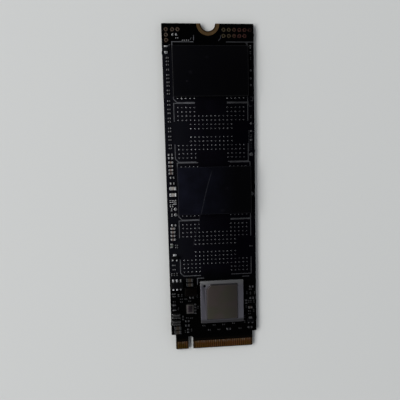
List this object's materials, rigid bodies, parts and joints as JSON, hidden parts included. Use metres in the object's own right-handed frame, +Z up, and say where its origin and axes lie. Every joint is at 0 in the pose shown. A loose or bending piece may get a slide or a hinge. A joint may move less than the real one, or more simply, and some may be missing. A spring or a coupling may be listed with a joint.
{
  "type": "solid-state drive card",
  "caption": "Single-sided solid-state drive card with an edge connector, a screw notch, a lidded controller, fitted memory chips and empty memory sites.",
  "frame": {"origin": "middle of the card's underside, on the face that it lies on", "axes": "+X across the card, +Y along it from the contact edge to the screw notch, +Z up out of the parts side"},
  "size_m": [0.0222, 0.08, 0.0019],
  "materials": {
    "bare_copper": "worn gold over copper",
    "bead_green": "grey green ceramic",
    "board_mask": "satin black solder mask",
    "capacitor_tan": "tan fired ceramic",
    "case_ceramic": "fired ceramic",
    "chip_laminate": "dark laminate",
    "chip_mould": "black moulding compound",
    "choke_cover": "grey ferrite",
    "cover_metal": "satin cover metal",
    "ferrite": "dark pressed ferrite",
    "glue": "black lid adhesive",
    "gold_plating": "thin gold over nickel",
    "ink": "greyish white printed ink",
    "lead_tin": "bright tinned leads",
    "lid_metal": "satin nickel plate",
    "paste": "grey thermal paste",
    "resistor_black": "black glaze over ceramic",
    "silicon": "polished silicon",
    "solder": "bright tin solder"
  },
  "bodies": {
    "root": {"choke_bodies": "choke_cover", "choke_terminals": "lead_tin", "circuit_board": "board_mask", "contacts_top": "gold_plating", "contacts_underside": "gold_plating", "controller_balls": "solder", "controller_die": "silicon", "controller_glue": "glue", "controller_lid": "lid_metal", "controller_paste": "paste", "controller_substrate": "chip_laminate", "crystal_case": "case_ceramic", "crystal_lid": "cover_metal", "diode_bodies": "chip_mould", "diode_ends": "lead_tin", "ferrite_bead_bodies": "bead_green", "ferrite_bead_ends": "lead_tin", "flash_lower_balls": "solder", "flash_lower_mould": "chip_mould", "flash_lower_substrate": "chip_laminate", "flash_upper_balls": "solder", "flash_upper_mould": "chip_mould", "flash_upper_substrate": "chip_laminate", "large_capacitor_bodies": "capacitor_tan", "large_capacitor_ends": "lead_tin", "large_resistor_bodies": "resistor_black", "large_resistor_ends": "lead_tin", "medium_capacitor_bodies": "capacitor_tan", "medium_capacitor_ends": "lead_tin", "medium_resistor_bodies": "resistor_black", "medium_resistor_ends": "lead_tin", "notch_ground_plating": "gold_plating", "power_inductor_body": "ferrite", "power_inductor_terminals": "lead_tin", "printed_marks": "ink", "regulator_body": "chip_mould", "regulator_leads": "lead_tin", "small_capacitor_bodies": "capacitor_tan", "small_capacitor_ends": "lead_tin", "small_resistor_bodies": "resistor_black", "small_resistor_ends": "lead_tin", "solder_domes_site_1": "solder", "solder_domes_site_2": "solder", "solder_domes_site_3": "solder", "solder_domes_site_4": "solder", "test_dots": "solder", "test_pads": "bare_copper", "transistor_bodies": "chip_mould", "transistor_leads": "lead_tin"}
  },
  "joints": []
}
